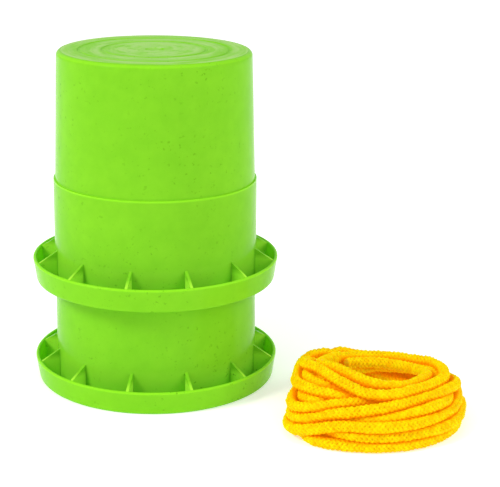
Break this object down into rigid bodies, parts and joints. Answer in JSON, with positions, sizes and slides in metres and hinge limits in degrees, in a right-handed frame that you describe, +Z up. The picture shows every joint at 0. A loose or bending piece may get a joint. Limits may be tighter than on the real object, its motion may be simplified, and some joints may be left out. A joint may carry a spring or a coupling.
{
  "type": "tin can stilts",
  "caption": "Pair of tub-shaped toy stilts with a gusseted rim and a stepped wall, one nested on the other, with two coiled hand ropes beside them.",
  "frame": {"origin": "on the tubs' common axis, at ground level", "axes": "+Z up along the tubs' axis, +X to the viewer's right through the rope holes, +Y away from the viewer"},
  "size_m": [0.2398, 0.197, 0.192],
  "materials": {
    "lime_plastic": "satin moulded plastic",
    "yellow_rope": "braided rope"
  },
  "bodies": {
    "lower_stilt": {"lower_tub": "lime_plastic"},
    "upper_stilt": {"upper_tub": "lime_plastic"},
    "first_rope": {"rope_one": "yellow_rope"},
    "second_rope": {"rope_two": "yellow_rope"}
  },
  "joints": [
    {"name": "upper_tub_lift", "type": "slide", "parent": "lower_stilt", "child": "upper_stilt", "axis": [0, 0, 1], "range_m": [0, 0.15]},
    {"name": "rope_one_lift", "type": "slide", "parent": "lower_stilt", "child": "first_rope", "axis": [0, 0, 1], "range_m": [0, 0.08]},
    {"name": "rope_two_lift", "type": "slide", "parent": "first_rope", "child": "second_rope", "axis": [0, 0, 1], "range_m": [0, 0.04]}
  ]
}
